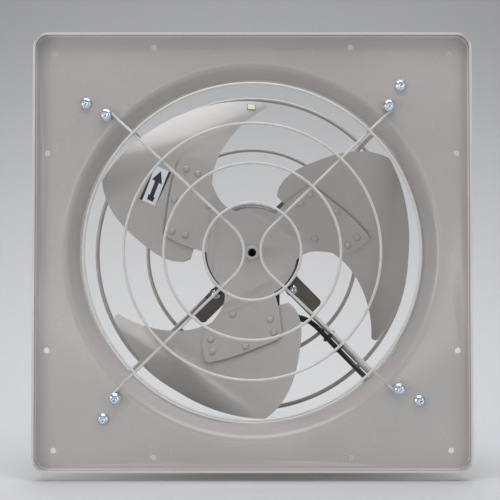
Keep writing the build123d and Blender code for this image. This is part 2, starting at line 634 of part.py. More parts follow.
def blade_sheet(offset, sheet):
    """A pitched sheet whose outer part curls back, its front face set back from the arms by an offset."""
    ux, uy = polar(ARM_SLOPE, ARM_BEND_ANGLE)
    steep = math.sqrt(1 + ARM_SLOPE ** 2)
    level = -HUB_DEPTH - ARM_BEND_DISTANCE * ARM_SLOPE - offset * steep

    def strip_line(drop):
        near, start, end = 20.0, TIP_CURL_START, 215.0
        fall = TIP_CURL * (end - start) ** 2
        z = [level + ux * x - drop for x in (near, start, (start + end) / 2, end)]
        return Line((near, 0, z[0]), (start, 0, z[1])), Bezier(
            (start, 0, z[1]), ((start + end) / 2, 0, z[2]), (end, 0, z[3] - fall))

    front, back = strip_line(0.0), strip_line(sheet * steep)
    ends = [Line(front[0] @ 0, back[0] @ 0), Line(front[1] @ 1, back[1] @ 1)]
    face = make_face(list(front) + list(back) + ends)
    run = 260.0
    return extrude(Pos(0, -run, -run * uy) * face, amount=2 * run * math.hypot(1, uy), dir=(0, 1, uy))


def make_blade(turn):
    """One blade, riveted behind its arm."""
    prism = Pos(0, 0, -HUB_DEPTH - 80) * extrude(blade_outline(), 220)
    blade = blade_sheet(HUB_SHEET + BLADE_GAP, BLADE_SHEET) & prism
    blade = Rot(0, 0, turn) * blade
    return blade - rivet_holes(turn)


def make_rivets():
    """Dome-head rivets that join the blades to the arms."""
    grip = HUB_SHEET + BLADE_GAP + BLADE_SHEET + 0.06
    head, neck, tail = RIVET_HEAD / 2, RIVET_SHANK / 2, RIVET_TAIL / 2
    outline = [
        ThreePointArc((0, RIVET_DOME), (head * 0.72, RIVET_DOME * 0.72), (head, 0)),
        Polyline((head, 0), (neck, 0), (neck, -grip), (tail, -grip), (tail, -grip - 1.3), (0, -grip - 1.3),
                 (0, RIVET_DOME))]
    rivet = Pos(0, 0, 0.03) * revolve(Plane.XZ * make_face(outline), Axis.Z)
    rivets = []
    for turn in BLADE_TURNS:
        for place in RIVET_PLACES:
            rivets.append(Rot(0, 0, turn) * rivet_frame(*place).location * rivet)
    return Compound(rivets)


def make_boss():
    """The turned hub boss: a nose through the spider, a flange behind it and a body on the shaft."""
    bore = SHAFT_HUB / 2 + 0.02
    seat = HUB_DEPTH + HUB_SHEET + FIT
    boss = turning([(bore, NOSE_FRONT), (NOSE_RADIUS, NOSE_FRONT), (NOSE_RADIUS, seat), (BOSS_FLANGE, seat),
                    (BOSS_FLANGE, seat + BOSS_FLANGE_SHEET), (BOSS_RADIUS, seat + BOSS_FLANGE_SHEET),
                    (BOSS_RADIUS, BOSS_REAR - FIT), (bore, BOSS_REAR - FIT)],
                   [1.2, 1.6, 0, 0.5, 0.5, 1.0, 1.0, 0])
    return boss - set_screws(3.05)


def set_screws(radius):
    """Two grub screws across the boss, a third of a turn apart."""
    depth = (HUB_DEPTH + HUB_SHEET + BOSS_FLANGE_SHEET + BOSS_REAR) / 2
    inner, outer = SHAFT_HUB / 2 + 0.1, BOSS_RADIUS - 1.0
    screws = []
    for angle in (90.0, 210.0):
        x, y = polar((inner + outer) / 2, angle)
        screws.append(Pos(x, y, -depth) * Rot(0, 90, 0) * Rot(-angle, 0, 0) * Cylinder(radius, outer - inner))
    return Compound(screws)


def sheet_patch(place, size, turn, sheet):
    """A thin patch that follows the outlet face of the second blade."""
    x, y = polar(*place)
    outline = Pos(x, y) * Rot(0, 0, turn) * RectangleRounded(*size, 0.8)
    prism = Pos(0, 0, -HUB_DEPTH - 80) * extrude(outline, 220)
    patch = blade_sheet(HUB_SHEET + BLADE_GAP - 0.02 - sheet, sheet) & prism
    return Rot(0, 0, BLADE_TURNS[1]) * patch


# ================================================================ terminal box
def box_block(half, floor, front, rear, corner):
    """A round-cornered block below the axis, reaching up to the motor."""
    face = RectangleRounded(2 * half, rear - front, corner)
    block = extrude(face, floor)
    return Pos(0, 0, -(front + rear) / 2) * Rot(90, 0, 0) * block


def make_terminal_box():
    """An open box that stands on the motor shell and is closed from below by its lid."""
    outer = box_block(BOX_HALF_WIDTH, BOX_FLOOR, BOX_FRONT, BOX_REAR, BOX_CORNER)
    inner = box_block(BOX_HALF_WIDTH - BOX_WALL, BOX_FLOOR + 5, BOX_FRONT + BOX_WALL, BOX_REAR - BOX_WALL,
                      BOX_CORNER - BOX_WALL / 2)
    post = Pos(0, 0, -LID_POST_HEIGHT / 2) * Cylinder(LID_POST, LID_POST_HEIGHT)
    box = outer - inner
    box += [(lid_hole_place(x, depth) * post) & outer for x, depth in lid_screw_places()]
    hole = Pos(BOX_HALF_WIDTH, -GLAND_HEIGHT, -GLAND_DEPTH) * Rot(0, 90, 0) * Cylinder(6.05, 10)
    thread = Cylinder(LID_SCREW / 2 + FIT, 24)
    threads = [lid_hole_place(x, depth) * thread for x, depth in lid_screw_places()]
    return box - drum(MOTOR_RADIUS + FIT, BOX_FRONT - 5, BOX_REAR + 5) - hole - threads


def lid_hole_place(x, depth):
    """A place on the box's rim with its Z pointing down, out of the box."""
    return Pos(x, -BOX_FLOOR, -depth) * Rot(90, 0, 0)


def lid_screw_places():
    """Where the four lid screws stand: x and depth."""
    x = BOX_HALF_WIDTH - LID_SCREW_INSET
    return [(sx * x, depth) for sx in (-1, 1)
            for depth in (BOX_FRONT + LID_SCREW_INSET, BOX_REAR - LID_SCREW_INSET)]


def make_lid():
    """The lid and the gasket under it, and the four screws."""
    holes = [lid_hole_place(x, depth) * Cylinder(LID_SCREW / 2 + 0.3, 24) for x, depth in lid_screw_places()]
    frame = box_block(BOX_HALF_WIDTH, GASKET, BOX_FRONT, BOX_REAR, BOX_CORNER) - box_block(
        BOX_HALF_WIDTH - 9, GASKET + 1, BOX_FRONT + 9, BOX_REAR - 9, 2.0)
    gasket = Pos(0, -BOX_FLOOR, 0) * frame - holes
    lid = Pos(0, -BOX_FLOOR - GASKET, 0) * box_block(
        BOX_HALF_WIDTH, LID_SHEET, BOX_FRONT, BOX_REAR, BOX_CORNER)
    under = BOX_FLOOR + GASKET + LID_SHEET + FIT
    screw = Rot(90, 0, 0) * pan_screw(10.5, head=6.0, height=2.2, shank=LID_SCREW)
    screws = [Pos(x, -under, -depth) * screw for x, depth in lid_screw_places()]
    return lid - holes, gasket, Compound(screws)


def make_gland():
    """The cable gland: a thread in the wall, a hexagon and a domed cap nut."""
    bore = CABLE / 2 + 0.1
    points = [(bore, -8.0), (6.0, -8.0), (6.0, 0.05), (8.0, 0.05), (8.0, 5.0), (7.4, 5.5), (7.4, 13.0),
              (5.2, GLAND_LENGTH), (bore, GLAND_LENGTH)]
    outline = FilletPolyline(*[(r, 0, z) for r, z in points],
                             radius=[0, 0, 0, 0.5, 0, 0, 1.5, 0.5, 0], close=True)
    body = revolve(make_face(outline), Axis.Z)
    body += Pos(0, 0, 0.05) * extrude(RegularPolygon(8.6, 6, major_radius=False) - Circle(7.0), 5.0)
    return Pos(BOX_HALF_WIDTH, -GLAND_HEIGHT, -GLAND_DEPTH) * Rot(0, 90, 0) * body


def box_contents():
    """The run capacitor and the terminal block inside the box."""
    y = -(BOX_FLOOR + MOTOR_RADIUS) / 2 - 7.0
    middle = (BOX_FRONT + BOX_REAR) / 2
    capacitor = Pos(-10, y, -middle - 6) * Rot(0, 90, 0) * fillet(
        Cylinder(CAPACITOR_RADIUS, CAPACITOR_LENGTH).edges(), 1.5)
    block = Pos(16, y - 2, -middle - 8) * Box(18, 12, 14)
    well = Pos(16, y - 8, -middle - 8) * Rot(90, 0, 0) * Cylinder(1.6, 6)
    block -= [Pos(offset, 0, 0) * well for offset in (-5, 0, 5)]
    return capacitor, block


def rating_plate():
    """A blank plate on the side of the motor shell."""
    half = 14.0
    ring = drum(MOTOR_RADIUS + 0.45, 184.0, 212.0, MOTOR_RADIUS + FIT)
    wedge = make_face(Polyline((0, 0), polar(120, -half), polar(120, half), close=True))
    return ring & Pos(0, 0, -230) * extrude(wedge, 80)


# ================================================================ cable
def cable_path(route):
    """Straight runs joined by arcs as large as each pair of runs allows; prints the arcs' radii."""
    points = [Vector(x, y, -depth) for x, y, depth in route]
    radii = []
    for before, here, after in zip(points, points[1:], points[2:]):
        first, second = here - before, after - here
        half_turn = math.radians(first.get_angle(second)) / 2
        radii.append(0.45 * min(first.length, second.length) / math.tan(half_turn))
    print("cable arcs, mm:", [round(r, 1) for r in radii])
    return FilletPolyline(*points, radius=radii)


def cable_pieces():
    """The lead from the gland to the coil, the coil's outer shape, and the short end beyond it."""
    lead = rod(cable_path(CABLE_ROUTE), CABLE)
    coil = extrude(Circle(COIL_OUTER) - Circle(COIL_INNER), COIL_REAR - COIL_FRONT)
    coil = fillet(coil.edges(), 3.0)
    coil = Pos(*COIL_CENTRE, -COIL_REAR) * coil
    start, end = [Vector(x, y, -depth) for x, y, depth in TAIL_ROUTE]
    tail = rod(Line(start, end), CABLE) - coil
    cores = []
    for index in range(3):
        dx, dz = polar(1.6, 90 + index * 120)
        cores.append(Pos(end.X + dx, end.Y + CORE_LENGTH / 2, end.Z + dz) * Rot(90, 0, 0) * Cylinder(
            CORE_WIRE / 2, CORE_LENGTH))
    return lead - coil, coil, tail, Compound(cores)


def leg_ties():
    """Ties round the lower right leg and the lead beside it."""
    apart = (LEG_ROD + CABLE) / 2 + 0.9
    inner = CABLE + 2.2
    ties = []
    for along in TIE_PLACES:
        loop = SlotCenterToCenter(apart, inner + 2 * TIE_SHEET) - SlotCenterToCenter(apart, inner)
        origin = (along - TIE_WIDTH / 2, -apart / 2, -LEG_PLANE + 1.3)
        plane = Plane(origin=origin, x_dir=(0, 1, 0), z_dir=(1, 0, 0))
        lock = plane * Pos(0, inner / 2 + TIE_SHEET + 1.4, TIE_WIDTH / 2) * Box(5.0, 3.2, 5.0)
        ties.append(Rot(0, 0, LEG_ANGLE - 90.0) * (extrude(plane * loop, TIE_WIDTH) + lock))
    return Compound(ties)


def coil_tie():
    """A band round the coil's section, on the side next to the leg."""
    cx, cy = COIL_CENTRE
    depth = (COIL_FRONT + COIL_REAR) / 2
    near, far = COIL_INNER - 0.5, COIL_OUTER + 0.5
    wide = COIL_REAR - COIL_FRONT + 1.0
    band = RectangleRounded(far - near + 2 * TIE_SHEET, wide + 2 * TIE_SHEET, 4.0) - RectangleRounded(
        far - near, wide, 3.0)
    plane = Plane(origin=((far + near) / 2, TIE_WIDTH / 2, 0), x_dir=(1, 0, 0), z_dir=(0, -1, 0))
    return Pos(cx, cy, -depth) * Rot(0, 0, COIL_TIE_ANGLE) * extrude(plane * band, TIE_WIDTH)


# ================================================================ everything
def all_nodes():
    """Every piece by its node's name, in the fan's own frame."""
    nodes = {"panel": make_panel()}
    for number, radius in enumerate(GUARD_RINGS, 1):
        nodes[f"guard_ring_{number}"] = guard_ring(radius)
    nodes["guard_spoke_right"] = guard_spoke(0.0)
    nodes["guard_spoke_left"] = guard_spoke(180.0)
    nodes["guard_screws"], nodes["guard_washers"], nodes["guard_nuts"] = guard_fixings()
    for number, turn in enumerate(QUARTER_TURNS, 1):
        nodes[f"cage_leg_{number}"] = cage_leg(turn)
    nodes["cage_ring_outer"] = outer_cage_ring()
    nodes["cage_ring_inner"] = inner_cage_ring()
    nodes["cage_screws"], nodes["cage_washers"], nodes["cage_nuts"] = cage_fixings()
    nodes["motor_bracket"] = make_bracket()
    (nodes["bracket_screws"], nodes["bracket_bushes"], nodes["bracket_nuts"],
     nodes["motor_flange"]) = bracket_fixings()
    nodes["motor_shell"] = make_shell()
    nodes["motor_front_shield"] = end_shield(MOTOR_FRONT, MOTOR_SHELL_FRONT, FRONT_BEARING, 1)
    nodes["motor_rear_shield"] = end_shield(MOTOR_REAR, MOTOR_SHELL_REAR, REAR_BEARING + SEAT_LENGTH, -1)
    nodes["through_bolts"] = through_bolts()
    nodes["stator_core"], nodes["stator_windings"] = stator()
    nodes["rotor_core"], nodes["rotor_end_rings"] = motor_rotor()
    nodes["shaft"] = make_shaft()
    nodes["bearing_outer_races"], nodes["bearing_inner_races"], nodes["bearing_balls"] = bearings()
    nodes["shaft_slinger"] = slinger()
    nodes["hub_spider"] = make_spider()
    nodes["hub_boss"] = make_boss()
    nodes["hub_set_screws"] = set_screws(3.0)
    for number, turn in enumerate(BLADE_TURNS, 1):
        nodes[f"blade_{number}"] = make_blade(turn)
    nodes["blade_rivets"] = make_rivets()
    nodes["direction_label"] = sheet_patch(LABEL_AT, LABEL_SIZE, LABEL_TURN + 90.0, LABEL_SHEET)
    nodes["balance_tab"] = sheet_patch(TAB_AT, TAB_SIZE, TAB_AT[1] + 90.0, TAB_SHEET)
    nodes["terminal_box"] = make_terminal_box()
    nodes["terminal_lid"], nodes["terminal_gasket"], nodes["terminal_lid_screws"] = make_lid()
    nodes["cable_gland"] = make_gland()
    nodes["run_capacitor"], nodes["terminal_block"] = box_contents()
    nodes["rating_plate"] = rating_plate()
    nodes["cable_lead"], nodes["cable_coil"], nodes["cable_tail"], nodes["cable_cores"] = cable_pieces()
    nodes["leg_ties"] = leg_ties()
    nodes["coil_tie"] = coil_tie()
    return nodes


def write_nodes():
    """Turns each piece so that the panel stands upright, and writes one file for each node."""
    os.makedirs(OUTPUT, exist_ok=True)
    for name, shape in all_nodes().items():
        export_step(Rot(90, 0, 0) * shape, os.path.join(OUTPUT, name + ".step"))


write_nodes()
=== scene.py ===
# %% [markdown]
# # A panel-mounted exhaust fan
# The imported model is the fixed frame: every piece below is placed from its numbers. This first cell
# loads it and keeps the size of its box, because nothing made here may stand outside that box.

# %% Load the frame
import json
import math

import bmesh
import bpy
import numpy as np
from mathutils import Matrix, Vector


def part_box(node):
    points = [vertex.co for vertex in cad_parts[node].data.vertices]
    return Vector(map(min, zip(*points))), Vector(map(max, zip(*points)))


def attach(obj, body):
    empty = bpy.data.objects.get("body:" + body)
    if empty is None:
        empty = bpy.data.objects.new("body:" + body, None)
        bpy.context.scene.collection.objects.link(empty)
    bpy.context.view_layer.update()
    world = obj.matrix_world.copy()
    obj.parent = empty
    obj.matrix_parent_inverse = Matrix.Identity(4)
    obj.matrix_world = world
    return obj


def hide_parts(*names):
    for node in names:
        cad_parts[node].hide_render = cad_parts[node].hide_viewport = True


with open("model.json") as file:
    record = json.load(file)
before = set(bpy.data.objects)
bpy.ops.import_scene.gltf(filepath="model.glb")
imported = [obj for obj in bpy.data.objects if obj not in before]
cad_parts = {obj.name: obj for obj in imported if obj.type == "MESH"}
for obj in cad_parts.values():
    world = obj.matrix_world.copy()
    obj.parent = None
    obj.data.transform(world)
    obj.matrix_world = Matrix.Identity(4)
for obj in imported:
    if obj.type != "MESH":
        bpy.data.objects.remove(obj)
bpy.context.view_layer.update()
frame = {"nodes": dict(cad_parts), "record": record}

MM = 0.001

# %% [markdown]
# ## The camera
# The fan is seen square from its outlet side. The camera stands a little below and left of the fan's
# axis and looks up by one degree, which keeps the panel's four edges almost parallel to the frame's.

# %% Camera
CAMERA_PLACE = (-0.0026, -0.951, -0.016)
CAMERA_TILT_UP = math.radians(1.08)
LENS_MM = 59.2

camera_data = bpy.data.cameras.new("studio_camera")
camera_data.lens = LENS_MM
camera_data.sensor_width = 36.0
camera_data.dof.use_dof = False
camera = bpy.data.objects.new("studio_camera", camera_data)
camera.location = CAMERA_PLACE
camera.rotation_euler = (math.pi / 2 + CAMERA_TILT_UP, 0.0, 0.0)
bpy.context.scene.collection.objects.link(camera)
bpy.context.scene.camera = camera
print("camera:", LENS_MM, "mm lens")

# %% [markdown]
# ## The supply lead
# The lead leaves the gland of the terminal box, runs beside the lower right leg of the cage, and the
# rest of it is wound into a small coil behind the panel. A flexible cable has no straight parts and
# no sharp corners, so its line is one NURBS spline and these points only pull it along its way.
# The coil is two turns deep and two turns wide: each turn keeps its own corner of the bundle and
# changes to the next corner over a sixth of a turn.

# %% The lead's line
CABLE_RADIUS = 3.5
GLAND_MOUTH = (56.0, 181.5, -87.0)
lead_points = [
    GLAND_MOUTH, (74.0, 177.5, -89.0), (87.0, 160.5, -98.0), (104.0, 157.2, -116.5),
    (121.5, 158.4, -134.7), (136.0, 149.5, -149.4), (143.8, 133.5, -157.6),
    (146.0, 115.5, -160.0), (145.8, 98.5, -162.2), (141.6, 83.5, -169.8), (134.4, 74.4, -181.2),
    (130.9, 71.4, -195.0),
]
COIL_CENTRE = (172.0, -204.5)
COIL_START, COIL_END, COIL_STEP = 183.0, 1070.0, 18.0
COIL_CORNERS = ((41.4, 71.4), (34.2, 71.4), (34.2, 64.2), (41.4, 64.2))
COIL_CHANGES = (275.0, 555.0, 835.0)
CHANGE_LENGTH = 60.0


def coil_points():
    """Points round the coil. The radius and depth slide from one corner of the bundle to the next."""
    turned = np.arange(0.0, COIL_END - COIL_START, COIL_STEP)
    radius = np.full(turned.shape, COIL_CORNERS[0][0])
    depth = np.full(turned.shape, COIL_CORNERS[0][1])
    for change, here, there in zip(COIL_CHANGES, COIL_CORNERS, COIL_CORNERS[1:]):
        share = np.clip((turned - change) / CHANGE_LENGTH + 0.5, 0.0, 1.0)
        radius += share * (there[0] - here[0])
        depth += share * (there[1] - here[1])
    angle = np.radians(turned + COIL_START)
    x = COIL_CENTRE[0] + radius * np.cos(angle)
    z = COIL_CENTRE[1] + radius * np.sin(angle)
    return [tuple(point) for point in np.stack([x, depth, z], axis=1)]


tail_points = [(213.4, 64.3, -203.0), (213.3, 64.4, -191.5), (213.2, 64.4, -180.0)]
cable_points = lead_points + coil_points() + tail_points


def cable_curve(name, points, radius):
    """A round cord on one NURBS spline through a set of control points, given in millimetres."""
    curve = bpy.data.curves.new(name, "CURVE")
    curve.dimensions = "3D"
    curve.resolution_u = 6
    curve.bevel_depth = radius * MM
    curve.bevel_resolution = 5
    curve.use_fill_caps = True
    spline = curve.splines.new("NURBS")
    spline.points.add(len(points) - 1)
    spline.points.foreach_set("co", np.ravel([(x * MM, y * MM, z * MM, 1.0) for x, y, z in points]))
    spline.order_u = 3
    spline.use_endpoint_u = True
    piece = bpy.data.objects.new(name, curve)
    bpy.context.scene.collection.objects.link(piece)
    return piece


supply_lead = cable_curve("supply_lead", cable_points, CABLE_RADIUS)


def line_of(piece):
    """The points down the middle of a curve piece, in metres."""
    bare = bpy.data.objects.new("bare_line", piece.data.copy())
    bare.data.bevel_depth = 0.0
    mesh = bpy.data.meshes.new_from_object(bare)
    line = np.array([v.co[:] for v in mesh.vertices])
    bpy.data.meshes.remove(mesh)
    bpy.data.curves.remove(bare.data)
    return line


lead_line = line_of(supply_lead)
lead_length = float(np.linalg.norm(np.diff(lead_line, axis=0), axis=1).sum())
print("supply lead:", len(cable_points), "points, length", round(lead_length, 3), "m")

# %% [markdown]
# ## Surfaces from two numbers
# A new piece is a surface: a grid of points worked out for two parameters at once. This helper turns
# such a grid into a mesh, closing it along either direction, and can cap the ends with one point.

# %% Grid to mesh
def surface(name, grid, close_u=False, close_v=False, caps=False):
    """A mesh of quads over a grid of shape (rows, columns, 3) in millimetres.

    close_u joins the last row to the first, close_v the last column to the first. caps fills the first
    and last rows with a fan of triangles about their middle points."""
    rows, columns = grid.shape[:2]
    number = np.arange(rows * columns).reshape(rows, columns)
    if close_u:
        number = np.concatenate([number, number[:1]], axis=0)
    if close_v:
        number = np.concatenate([number, number[:, :1]], axis=1)
    quads = np.stack([number[:-1, :-1], number[:-1, 1:], number[1:, 1:], number[1:, :-1]], axis=-1)
    faces = quads.reshape(-1, 4).tolist()
    points = grid.reshape(-1, 3)
    if caps:
        first, last = rows * columns, rows * columns + 1
        points = np.concatenate([points, grid[:1].mean(axis=1), grid[-1:].mean(axis=1)])
        ring = number[0]
        faces += np.stack([np.full(len(ring) - 1, first), ring[1:], ring[:-1]], axis=1).tolist()
        ring = number[-1]
        faces += np.stack([np.full(len(ring) - 1, last), ring[:-1], ring[1:]], axis=1).tolist()
    mesh = bpy.data.meshes.new(name)
    mesh.from_pydata((points * MM).tolist(), [], faces)
    tidy = bmesh.new()
    tidy.from_mesh(mesh)
    bmesh.ops.recalc_face_normals(tidy, faces=tidy.faces)
    tidy.to_mesh(mesh)
    tidy.free()
    mesh.polygons.foreach_set("use_smooth", [True] * len(mesh.polygons))
    piece = bpy.data.objects.new(name, mesh)
    bpy.context.scene.collection.objects.link(piece)
    return piece


def joined(name, pieces):
    """One object from several, in the order given."""
    whole = bmesh.new()
    for piece in pieces:
        whole.from_mesh(piece.data)
        bpy.data.objects.remove(piece)
    mesh = bpy.data.meshes.new(name)
    whole.to_mesh(mesh)
    whole.free()
    piece = bpy.data.objects.new(name, mesh)
    bpy.context.scene.collection.objects.link(piece)
    return piece


# %% [markdown]
# ## Rings of drawn wire
# The guard's rings and the cage's rings are round wire bent to a circle and welded shut. A ring is
# exact as a surface of two angles, one round the fan and one round the wire, so it is worked out here
# at a fineness that shows no corners. The butt weld is a slight swelling with a shallow ripple.

# %% Guard rings and cage rings
def wire_ring(node, wire, weld_at, round_steps=288, wire_steps=20):
    """A torus: centre radius and depth come from the node's box, u runs round the fan, v round the wire.

    Point = centre + (R + r cos v) * (cos u, sin u) across the axis and r sin v along it, where r swells
    by a bell-shaped curve of u about the butt weld."""
    low, high = (np.array(corner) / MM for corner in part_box(node))
    middle = (low + high) / 2
    big = (high[0] - low[0] - wire) / 2
    u = np.linspace(0.0, 2 * np.pi, round_steps, endpoint=False)[:, None]
    v = np.linspace(0.0, 2 * np.pi, wire_steps, endpoint=False)[None, :]
    from_weld = (np.degrees(u) - weld_at + 180.0) % 360.0 - 180.0
    along_weld = np.radians(from_weld) * big / (0.9 * wire)
    small = wire / 2 * (1.0 + 0.10 * np.exp(-along_weld ** 2)) - 0.002
    across = big + small * np.cos(v)
    grid = np.stack([middle[0] + across * np.cos(u), middle[1] + small * np.sin(v) * np.ones_like(u),
                     middle[2] + across * np.sin(u)], axis=-1)
    ring = surface(node + "_wire", grid, close_u=True, close_v=True)
    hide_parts(node)
    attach(ring, "frame")
    return ring, big


GUARD_WIRE, OUTER_CAGE_ROD, INNER_CAGE_ROD = 3.2, 5.5, 5.0
guard_rings = []
ring_radii = []
for number, weld_at in enumerate((96.0, 262.0, 101.0, 257.0), 1):
    ring, radius = wire_ring(f"guard_ring_{number}", GUARD_WIRE, weld_at)
    guard_rings.append(ring)
    ring_radii.append(radius)
cage_ring_outer, outer_radius = wire_ring("cage_ring_outer", OUTER_CAGE_ROD, 81.0)
cage_ring_inner, inner_radius = wire_ring("cage_ring_inner", INNER_CAGE_ROD, 268.0)
print("ring radii, mm:", [round(r, 1) for r in ring_radii + [outer_radius, inner_radius]])

# %% [markdown]
# ## Welds
# Each ring is resistance-welded where it crosses a wire, which leaves a small flattened bead in the
# corner between the two. A bead is an ellipsoid, longest along the ring, sunk into both wires.

# %% Weld beads
GUARD_WAIST = 7.0
GUARD_ARMS = (44.36, -43.24)
LEG_ANGLE = 44.5


def bead(x, y, z, heading, half_sizes):
    """An ellipsoid of the given half sizes: along a heading in the X-Z plane, across it, and along Y."""
    u = np.linspace(0.06, np.pi - 0.06, 9)[:, None]
    v = np.linspace(0.0, 2 * np.pi, 14, endpoint=False)[None, :]
    along = half_sizes[0] * np.cos(u) * np.ones_like(v)
    across = half_sizes[1] * np.sin(u) * np.cos(v)
    out = half_sizes[2] * np.sin(u) * np.sin(v)
    c, s = math.cos(math.radians(heading)), math.sin(math.radians(heading))
    grid = np.stack([x + along * c - across * s, y + out, z + along * s + across * c], axis=-1)
    return surface("bead", grid, close_v=True, caps=True)


def crossing(radius, waist, heading):
    """Where a straight arm from a point beside the axis reaches a radius."""
    c, s = math.cos(math.radians(heading)), math.sin(math.radians(heading))
    reach = waist * c + math.sqrt(radius ** 2 - (waist * s) ** 2)
    return -waist + reach * c, reach * s


guard_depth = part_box("guard_ring_1")[1][1] / MM - 0.15
beads = []
for radius in ring_radii:
    for heading in GUARD_ARMS:
        x, z = crossing(radius, GUARD_WAIST, heading)
        tangent = math.degrees(math.atan2(z, x)) + 90.0
        beads.append(bead(x, guard_depth, z, tangent, (2.7, 1.45, 0.95)))
        beads.append(bead(-x, guard_depth, -z, tangent, (2.6, 1.4, 0.95)))
guard_welds = joined("guard_welds", beads)
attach(guard_welds, "frame")

beads = []
outer_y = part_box("cage_ring_outer")[0][1] / MM + 0.4
inner_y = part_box("cage_ring_inner")[0][1] / MM + 0.2
for quarter in range(4):
    angle = LEG_ANGLE + 90.0 * quarter
    c, s = math.cos(math.radians(angle)), math.sin(math.radians(angle))
    beads.append(bead((outer_radius - 1.9) * c, outer_y, (outer_radius - 1.9) * s, angle + 90.0,
                      (4.6, 2.3, 2.0)))
    beads.append(bead(inner_radius * c, inner_y, inner_radius * s, angle + 90.0, (4.2, 2.2, 1.3)))
cage_welds = joined("cage_welds", beads)
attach(cage_welds, "frame")
print("weld beads:", 4 * len(ring_radii), "on the guard, 8 on the cage")

# %% [markdown]
# ## Smooth copies of the turned and pressed parts
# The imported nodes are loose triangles, which shade flat. A copy with its triangles joined can be
# shaded smooth, with real edges kept sharp wherever two faces meet at more than a set angle. That is
# all that turned, bent and pressed metal needs.

# %% Merged copies
SHARP_ANGLE, JOIN_WITHIN = 28.0, 2e-6
body_of_node = {node: body for body, members in frame["record"]["behaviour"]["bodies"].items()
                for node in members}


def smooth_copy(node):
    """A merged copy of a node that stands for it, smooth except where its faces meet sharply."""
    source = frame["nodes"][node]
    merged = bmesh.new()
    merged.from_mesh(source.data)
    bmesh.ops.remove_doubles(merged, verts=merged.verts, dist=JOIN_WITHIN)
    mesh = bpy.data.meshes.new(node + "_body")
    merged.to_mesh(mesh)
    merged.free()
    mesh.polygons.foreach_set("use_smooth", [True] * len(mesh.polygons))
    mesh.set_sharp_from_angle(angle=math.radians(SHARP_ANGLE))
    piece = bpy.data.objects.new(node + "_body", mesh)
    bpy.context.scene.collection.objects.link(piece)
    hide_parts(node)
    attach(piece, body_of_node[node])
    return piece


made_here = {"cage_ring_outer", "cage_ring_inner", "cable_lead", "cable_coil", "cable_tail"}
made_here |= {f"guard_ring_{number}" for number in range(1, 5)}
bodies = {node: smooth_copy(node) for node in frame["nodes"] if node not in made_here}
print("smooth copies:", len(bodies))

# %% [markdown]
# ## Where the lead is held
# The lead replaces its three plain solids. A short tapered rubber sleeve, with rings moulded round it,
# keeps it from bending sharply where it leaves the gland.

# %% Lead, sleeve and cores
SLEEVE_LENGTH = 24.0


def sleeve_along(line, length, name):
    """A tube round the first part of a line; its radius falls steadily and has seven shallow grooves."""
    along = np.concatenate([[0.0], np.cumsum(np.linalg.norm(np.diff(line, axis=0), axis=1))]) / MM
    at = np.linspace(0.0, length, 85)
    middle = np.stack([np.interp(at, along, line[:, k]) / MM for k in range(3)], axis=1)
    forward = np.gradient(middle, axis=0)
    forward /= np.linalg.norm(forward, axis=1, keepdims=True)
    side = np.cross(forward, [0.0, 0.0, 1.0])
    side /= np.linalg.norm(side, axis=1, keepdims=True)
    up = np.cross(side, forward)
    groove = 0.35 * (0.5 + 0.5 * np.cos(2 * np.pi * at / length * 7)) * (at > 3) * (at < length - 2)
    radius = np.interp(at, [0.0, 3.0, length - 1.0, length], [5.2, 5.2, 4.1, 3.6]) - groove
    v = np.linspace(0.0, 2 * np.pi, 28, endpoint=False)
    grid = middle[:, None] + radius[:, None, None] * (
        side[:, None] * np.cos(v)[None, :, None] + up[:, None] * np.sin(v)[None, :, None])
    return surface(name, grid, close_v=True, caps=True)


lead_sleeve = sleeve_along(lead_line, SLEEVE_LENGTH, "lead_sleeve")
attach(lead_sleeve, "frame")
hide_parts("cable_lead", "cable_coil", "cable_tail")
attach(supply_lead, "frame")
print("lead sleeve:", SLEEVE_LENGTH, "mm")

# %% [markdown]
# ## Writing shaders as sums
# A material is easier to read as arithmetic than as a picture of wires. Value wraps one number socket,
# and adding, multiplying or comparing Values adds the Math nodes. Bench is one material's work bench:
# its node method makes any other node from its type, its settings and the values of its sockets.

# %% Value and Bench
class Value:
    """A number that varies over a surface; arithmetic on it adds Math nodes to its bench."""

    def __init__(self, bench, socket):
        self.bench = bench
        self.socket = socket

    def maths(self, operation, first, second=0.0, clamp=False):
        settings = {"operation": operation, "use_clamp": clamp}
        return self.bench.node("ShaderNodeMath", settings, {0: first, 1: second})

    def __add__(self, other):
        return self.maths("ADD", self, other)

    def __radd__(self, other):
        return self.maths("ADD", other, self)

    def __sub__(self, other):
        return self.maths("SUBTRACT", self, other)

    def __rsub__(self, other):
        return self.maths("SUBTRACT", other, self)

    def __mul__(self, other):
        return self.maths("MULTIPLY", self, other)

    def size(self):
        return self.maths("ABSOLUTE", self)

    def least(self, other):
        return self.maths("MINIMUM", self, other)

    def most(self, other):
        return self.maths("MAXIMUM", self, other)

    def step(self, low, high):
        """0 below low, 1 above high, and an even slope between."""
        return self.maths("ADD", (self - low) * (1.0 / (high - low)), 0.0, clamp=True)


